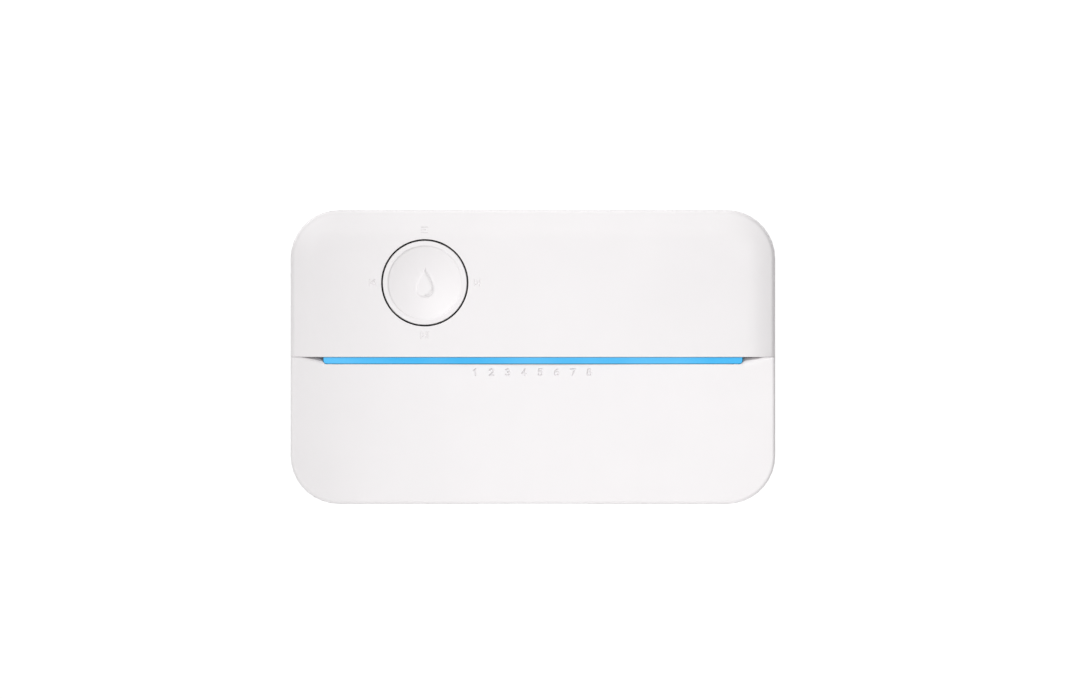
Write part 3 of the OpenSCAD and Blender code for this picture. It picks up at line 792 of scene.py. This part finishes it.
def cap_spread():
    """Points over the cap: rings at the crease, outlines of the drop, and a grid between."""
    spread = []
    for r in CREASE_RINGS:
        spread += ring(r, CAP_STEPS)
    for scale in (DROP_CORE, *DROP_SLOPE, DROP_FOOT):
        spread += drop_outline(scale)[1:]

    def free(x, z):
        r = np.hypot(x - CAP_X, z - CAP_Z)
        return (r < CAP_GRID_R) & (in_drop(x, z, DROP_ROOM[0]) | ~in_drop(x, z, DROP_ROOM[1]))

    axis = np.arange(-CAP_GRID_HALF, CAP_GRID_HALF + 0.1, CAP_GRID_STEP)
    return spread + kept(grid(CAP_X + axis, CAP_Z + axis), free)


def cap_back():
    """The skirt, ears and fingers of the CAD node: all of it that is behind the split."""
    work = bmesh.new()
    work.from_mesh(frame["nodes"]["button_cap"].data)
    bmesh.ops.remove_doubles(work, verts=work.verts, dist=1e-6)
    cut_plane = bmesh.ops.bisect_plane(
        work, geom=work.verts[:] + work.edges[:] + work.faces[:], plane_co=(0, -CAP_SPLIT * MM, 0),
        plane_no=(0, -1, 0), clear_outer=True,
    )
    rim = [e for e in cut_plane["geom_cut"] if isinstance(e, bmesh.types.BMEdge)]
    bmesh.ops.holes_fill(work, edges=rim, sides=0)
    mesh = bpy.data.meshes.new("cap_back")
    work.to_mesh(mesh)
    work.free()
    return linked("cap_back", mesh)


def cap():
    """The cap's front is new, and what is behind it comes from the CAD node."""
    radius = CAP_R - CAP_SHRINK
    border = [(x, z, (CAP_X - x) / radius, (CAP_Z - z) / radius) for x, z in ring(radius, CAP_STEPS)]
    front = front_solid(
        "cap_front", border, CAP_EDGE_R, [], cap_spread(), cap_depth, CAP_SPLIT, closed=True, turns=6,
    )
    return smooth_shaded(join("button_cap_skin", front, cap_back()))


# ---- Return spring ----

WIRE_R = 0.2
WIRE_SIDES = 10
SPRING_TURNS = 3
STEPS_PER_TURN = 40
SPRING_SHARP_ANGLE = 60


def spring():
    """The return spring as a round wire."""
    (left, right), (bottom, top), (back, front) = box_mm("return_spring")
    centre_x, centre_z = (left + right) / 2, (bottom + top) / 2
    coil_r = (right - left) / 2 - WIRE_R
    steps = STEPS_PER_TURN * SPRING_TURNS
    start, rise = back + WIRE_R, front - back - 2 * WIRE_R
    points = []
    for i in range(steps + 1):
        turn = 2 * math.pi * SPRING_TURNS * i / steps
        for j in range(WIRE_SIDES):
            side = 2 * math.pi * j / WIRE_SIDES
            r = coil_r + WIRE_R * math.cos(side)
            depth = start + rise * i / steps + WIRE_R * math.sin(side)
            points.append((centre_x + r * math.cos(turn), centre_z + r * math.sin(turn), depth))
    faces = []
    for i in range(steps):
        low, high = i * WIRE_SIDES, (i + 1) * WIRE_SIDES
        for j in range(WIRE_SIDES):
            k = (j + 1) % WIRE_SIDES
            faces.append((low + j, high + j, high + k, low + k))
    faces.append(tuple(range(WIRE_SIDES)))
    faces.append(tuple(range(steps * WIRE_SIDES, (steps + 1) * WIRE_SIDES)))
    made = smooth_shaded(to_mesh("return_spring_wire", points, faces), SPRING_SHARP_ANGLE)
    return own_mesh(made)


# ---- Materials ----

def new_material(name):
    """A material with its shader, and a helper that adds nodes to it."""
    made = bpy.data.materials.new(name)
    made.use_nodes = True
    tree = made.node_tree
    shader = tree.nodes["Principled BSDF"]

    def add(kind, **values):
        node = tree.nodes.new(kind)
        for key, value in values.items():
            if key in node.inputs:
                node.inputs[key].default_value = value
            else:
                setattr(node, key, value)
        return node

    return made, tree.links, shader, add


def noise_from(links, add, scale, detail=3.0, stretch=(1, 1, 1)):
    """Noise over the object's own space, in features per metre."""
    where = add("ShaderNodeTexCoord")
    mapped = add("ShaderNodeMapping", Scale=stretch)
    links.new(where.outputs["Object"], mapped.inputs["Vector"])
    noise = add("ShaderNodeTexNoise", Scale=scale, Detail=detail)
    links.new(mapped.outputs["Vector"], noise.inputs["Vector"])
    return noise.outputs["Fac"]


def two_tone(links, add, factor, low, high, spread=(0.35, 0.65)):
    """A colour between two shades, led by a factor."""
    ramp = add("ShaderNodeValToRGB")
    ramp.color_ramp.elements[0].position, ramp.color_ramp.elements[1].position = spread
    ramp.color_ramp.elements[0].color = (*low, 1)
    ramp.color_ramp.elements[1].color = (*high, 1)
    links.new(factor, ramp.inputs["Fac"])
    return ramp.outputs["Color"]


def ranged(links, add, factor, low, high, spread=(0.3, 0.7)):
    """A factor mapped from a spread to a range of values."""
    span = add("ShaderNodeMapRange")
    span.inputs["From Min"].default_value, span.inputs["From Max"].default_value = spread
    span.inputs["To Min"].default_value = low
    span.inputs["To Max"].default_value = high
    links.new(factor, span.inputs["Value"])
    return span.outputs["Result"]


def bumped(links, add, shader, height, relief, strength=1.0, invert=False):
    """A relief in millimetres, led by a height."""
    bump = add("ShaderNodeBump", Strength=strength, Distance=relief * MM, invert=invert)
    links.new(height, bump.inputs["Height"])
    links.new(bump.outputs["Normal"], shader.inputs["Normal"])


GLOSS_VARY = (0.88, 1.12)


def moulded(name, colour, roughness, vary=0.015, grain=0.35, relief=0.008, metallic=0.0, patch=9.0,
            stretch=(1, 1, 1), coat=0.0):
    """A moulded, painted or metal finish: a slow shade, a fine grain in millimetres and a varied gloss."""
    made, links, shader, add = new_material(name)
    slow = noise_from(links, add, 1 / (patch * MM), 2.0, stretch)
    fine = noise_from(links, add, 1 / (grain * MM), 2.0, stretch)
    low = tuple(c * (1 - vary) for c in colour)
    high = tuple(min(c * (1 + vary), 1) for c in colour)
    links.new(two_tone(links, add, slow, low, high), shader.inputs["Base Color"])
    gloss = ranged(links, add, fine, roughness * GLOSS_VARY[0], roughness * GLOSS_VARY[1])
    links.new(gloss, shader.inputs["Roughness"])
    bumped(links, add, shader, fine, relief)
    shader.inputs["Metallic"].default_value = metallic
    shader.inputs["Coat Weight"].default_value = coat
    return made


DEEP_BLUE, PALE_BLUE = (0.035, 0.42, 0.80), (0.08, 0.47, 0.84)
UNLIT_BLUES = (0.02, 0.07, 0.12), (0.03, 0.09, 0.14)


def lit_lens(name):
    """Frosted plastic lit from behind: its blue wanders a little, and its sides are dimmer than its face."""
    made, links, shader, add = new_material(name)
    along = noise_from(links, add, scale=26.0, detail=1.0, stretch=(1, 0.2, 0.2))
    fine = noise_from(links, add, scale=1 / (0.4 * MM), detail=2.0)
    blue = two_tone(links, add, along, DEEP_BLUE, PALE_BLUE, (0.4, 0.62))
    links.new(blue, shader.inputs["Emission Color"])
    where = add("ShaderNodeTexCoord")
    parts = add("ShaderNodeSeparateXYZ")
    links.new(where.outputs["Object"], parts.inputs["Vector"])
    front = -bar_depths[1] * MM
    side_end, face_start = front + LENS_SOFT * MM, front + FULL_GLOW * LENS_SOFT * MM
    glow = ranged(links, add, parts.outputs["Y"], SIDE_GLOW, 1.0, (side_end, face_start))
    links.new(glow, shader.inputs["Emission Strength"])
    links.new(two_tone(links, add, fine, *UNLIT_BLUES), shader.inputs["Base Color"])
    links.new(ranged(links, add, fine, low=0.35, high=0.45), shader.inputs["Roughness"])
    bumped(links, add, shader, fine, relief=0.004)
    return made


TRACK_GREEN, MASK_GREEN = (0.03, 0.17, 0.08), (0.008, 0.075, 0.035)


def board_green(name):
    """A circuit board: solder mask with lighter tracks under it."""
    made, links, shader, add = new_material(name)
    where = add("ShaderNodeTexCoord")
    cells = add("ShaderNodeTexVoronoi", feature="DISTANCE_TO_EDGE", distance="CHEBYCHEV", Scale=240.0)
    links.new(where.outputs["Object"], cells.inputs["Vector"])
    tracks = two_tone(links, add, cells.outputs["Distance"], TRACK_GREEN, MASK_GREEN, (0.04, 0.07))
    links.new(tracks, shader.inputs["Base Color"])
    fine = noise_from(links, add, scale=1 / (0.6 * MM), detail=2.0)
    links.new(ranged(links, add, fine, low=0.28, high=0.42), shader.inputs["Roughness"])
    bumped(links, add, shader, cells.outputs["Distance"], relief=0.03, strength=0.6, invert=True)
    return made


# The shading along a brushed surface, and for each plain finish: colour, roughness and what else differs
BRUSHED = (0.12, 1, 1)
FINISHES = {
    "rear_shell": ((0.735, 0.716, 0.722), 0.55, dict(vary=0.008, grain=0.5, relief=0.03)),
    "front_shell": ((0.818, 0.796, 0.803), 0.55, dict(vary=0.006, grain=0.3, relief=0.004, patch=30.0)),
    "deck_plastic": ((0.765, 0.746, 0.752), 0.5, dict(vary=0.008, grain=0.4, relief=0.02)),
    "black_plastic": ((0.016, 0.016, 0.018), 0.55, dict(vary=0.1, grain=0.3, relief=0.02)),
    "led_plastic": ((0.78, 0.74, 0.55), 0.25, dict(grain=0.2, relief=0.004, coat=0.4)),
    "chip_package": ((0.022, 0.022, 0.024), 0.6, dict(vary=0.12, grain=0.15, relief=0.012)),
    "radio_can": ((0.62, 0.62, 0.60), 0.32, dict(metallic=1.0, stretch=BRUSHED, relief=0.004)),
    "capacitor_sleeve": ((0.02, 0.03, 0.09), 0.3, dict(vary=0.15, relief=0.006)),
    "ferrite": ((0.06, 0.06, 0.065), 0.75, dict(vary=0.2, grain=0.25, relief=0.03)),
    "fuse_ceramic": ((0.72, 0.70, 0.64), 0.4, dict(grain=0.3, relief=0.01)),
    "varistor_coat": ((0.05, 0.15, 0.36), 0.38, dict(vary=0.12, grain=0.8, relief=0.02)),
    "terminal_plastic": ((0.09, 0.092, 0.097), 0.5, dict(vary=0.06, relief=0.02)),
    "lever_plastic": ((0.74, 0.30, 0.035), 0.42, dict(vary=0.04, grain=0.3, relief=0.012)),
    "spring_steel": ((0.60, 0.59, 0.56), 0.28, dict(metallic=1.0, stretch=BRUSHED, relief=0.005)),
    "zinc_steel": ((0.58, 0.59, 0.60), 0.36, dict(vary=0.06, metallic=1.0, relief=0.01, grain=0.5)),
    "magnet_nickel": ((0.66, 0.65, 0.62), 0.2, dict(metallic=1.0, relief=0.004)),
    "contact_brass": ((0.74, 0.55, 0.24), 0.3, dict(metallic=1.0, relief=0.005)),
    "acetal": ((0.70, 0.70, 0.67), 0.4, dict(grain=0.4, relief=0.008)),
    "label_film": ((0.66, 0.66, 0.65), 0.35, dict(grain=0.2, relief=0.002)),
    "pad_rubber": ((0.03, 0.03, 0.032), 0.85, dict(vary=0.15, grain=0.35, relief=0.04)),
}
finishes = {slot: moulded(slot, colour, rough, **rest) for slot, (colour, rough, rest) in FINISHES.items()}
finishes["light_lens"] = lit_lens("light_lens")
finishes["circuit_board"] = board_green("circuit_board")


def finish_node(made, slot):
    """Gives an object the finish of a slot, whatever materials it came with."""
    made.data.materials.clear()
    made.data.materials.append(finishes[slot])


def soften(made, width):
    """Small rounded edges on a CAD node, by modifiers only."""
    flat_angle, edge_angle = 1, 40
    weld = made.modifiers.new("weld", "WELD")
    weld.merge_threshold = 1e-6
    plane = made.modifiers.new("plane", "DECIMATE")
    plane.decimate_type = "DISSOLVE"
    plane.angle_limit = math.radians(flat_angle)
    bevel = made.modifiers.new("bevel", "BEVEL")
    bevel.width = width * MM
    bevel.segments = 2
    bevel.limit_method = "ANGLE"
    bevel.angle_limit = math.radians(edge_angle)
    made.modifiers.new("normals", "WEIGHTED_NORMAL").keep_sharp = True


LEVER_EDGE = 0.25
SOFT_EDGES = {
    "rear_housing": 0.3, "terminal_deck": 0.3, "zone_terminal_block": 0.25, "sensor_terminal_block": 0.25,
    "dc_jack": 0.25, "light_baffle": 0.2, "main_board": 0.1, "wifi_module": 0.2, "zone_triacs": 0.15,
}
for row in frame["record"]["subparts"]:
    node = row["node"]
    shown = frame["nodes"][node]
    finish_node(shown, row["material_slot"])
    if "lever_" in node and not node.endswith("_rod"):
        soften(shown, LEVER_EDGE)
    elif node in SOFT_EDGES:
        soften(shown, SOFT_EDGES[node])

pieces = [
    (upper_shell(), "housing", "front_fascia", "front_shell"),
    (lower_shell(), "cover", "wiring_cover", "front_shell"),
    (lens(), "housing", "light_bar", "light_lens"),
    (cap(), "cap", "button_cap", "front_shell"),
    (spring(), "housing", "return_spring", "spring_steel"),
]
for made, body, node, slot in pieces:
    finish_node(made, slot)
    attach(made, body)
    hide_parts(node)


# ---- Floor, light and camera ----

def floor():
    """A pale round floor below the wall-mounted object."""
    steps, radius, low = 64, 0.55, -0.22
    mesh = bpy.data.meshes.new("floor")
    turns = [2 * math.pi * i / steps for i in range(steps)]
    circle = [(radius * math.cos(a), radius * math.sin(a), low) for a in turns]
    mesh.from_pydata(circle, [], [tuple(range(steps))])
    made = linked("floor", mesh)
    paper = moulded("floor_paper", (0.86, 0.86, 0.86), 0.8, vary=0.004, grain=1.0, relief=0.01)
    made.data.materials.append(paper)


def soft_light(name, place, size, power, aim=(0, 0, 0)):
    """A square soft light that looks at a point."""
    light = bpy.data.lights.new(name, "AREA")
    light.size = size
    light.energy = power
    made = linked(name, light)
    made.location = place
    made.visible_camera = False
    made.rotation_euler = (Vector(aim) - Vector(place)).to_track_quat("-Z", "Y").to_euler()


def studio():
    """Soft light from all round, brighter from above left. The backdrop itself is plain white."""
    brightest, dim, bright, backdrop = (-0.5, -0.45, 0.8), 0.06, 0.48, 1.06
    world = bpy.data.worlds.new("studio")
    bpy.context.scene.world = world
    world.use_nodes = True
    nodes, links = world.node_tree.nodes, world.node_tree.links
    where = nodes.new("ShaderNodeTexCoord")
    towards = nodes.new("ShaderNodeVectorMath")
    towards.operation = "DOT_PRODUCT"
    towards.inputs[1].default_value = Vector(brightest).normalized()
    links.new(where.outputs["Generated"], towards.inputs[0])
    around = nodes.new("ShaderNodeMapRange")
    for key, value in (("From Min", -1), ("From Max", 1), ("To Min", dim), ("To Max", bright)):
        around.inputs[key].default_value = value
    links.new(towards.outputs["Value"], around.inputs["Value"])
    ray = nodes.new("ShaderNodeLightPath")
    seen = nodes.new("ShaderNodeMix")
    seen.inputs["B"].default_value = backdrop
    links.new(ray.outputs["Is Camera Ray"], seen.inputs["Factor"])
    links.new(around.outputs["Result"], seen.inputs["A"])
    links.new(seen.outputs["Result"], nodes["Background"].inputs["Strength"])
    nodes["Background"].inputs["Color"].default_value = (1, 1, 1, 1)


def camera():
    """Square on to the front, from far away. The frame is frame_w wide at the case's rim."""
    distance, frame_w, sensor_w, aside, above = 6.0, 515.4, 36, 0.0036, 0.0036
    lens_data = bpy.data.cameras.new("camera")
    lens_data.sensor_width = sensor_w
    lens_data.lens = sensor_w * (distance + (CASE_DEPTH - RIM) * MM) / (frame_w * MM)
    lens_data.clip_start = 0.1
    made = linked("camera", lens_data)
    made.location = (aside, -distance - CASE_DEPTH * MM, above)
    made.rotation_euler = (math.radians(90), 0, 0)
    bpy.context.scene.camera = made


floor()
studio()
soft_light("key", (-1.5, -2.3, 1.8), size=0.8, power=52.0)
soft_light("panel", (0.125, -0.1, 0.03), size=0.46, power=0.225, aim=(0.125, 0, 0.03))
soft_light("under", (0.0, 0.02, -0.2), size=0.24, power=0.07, aim=(0.0, 0, -0.07))
soft_light("over", (0.0, 0.12, 0.3), size=0.24, power=0.3, aim=(0.0, 0, 0.07))
soft_light("back_left", (-0.9, 1.2, 0.7), size=0.8, power=9.0)
soft_light("back_right", (0.9, 1.2, 0.5), size=0.8, power=9.0)
camera()
bpy.context.scene.view_settings.view_transform = "Standard"
bpy.context.scene.view_settings.look = "None"
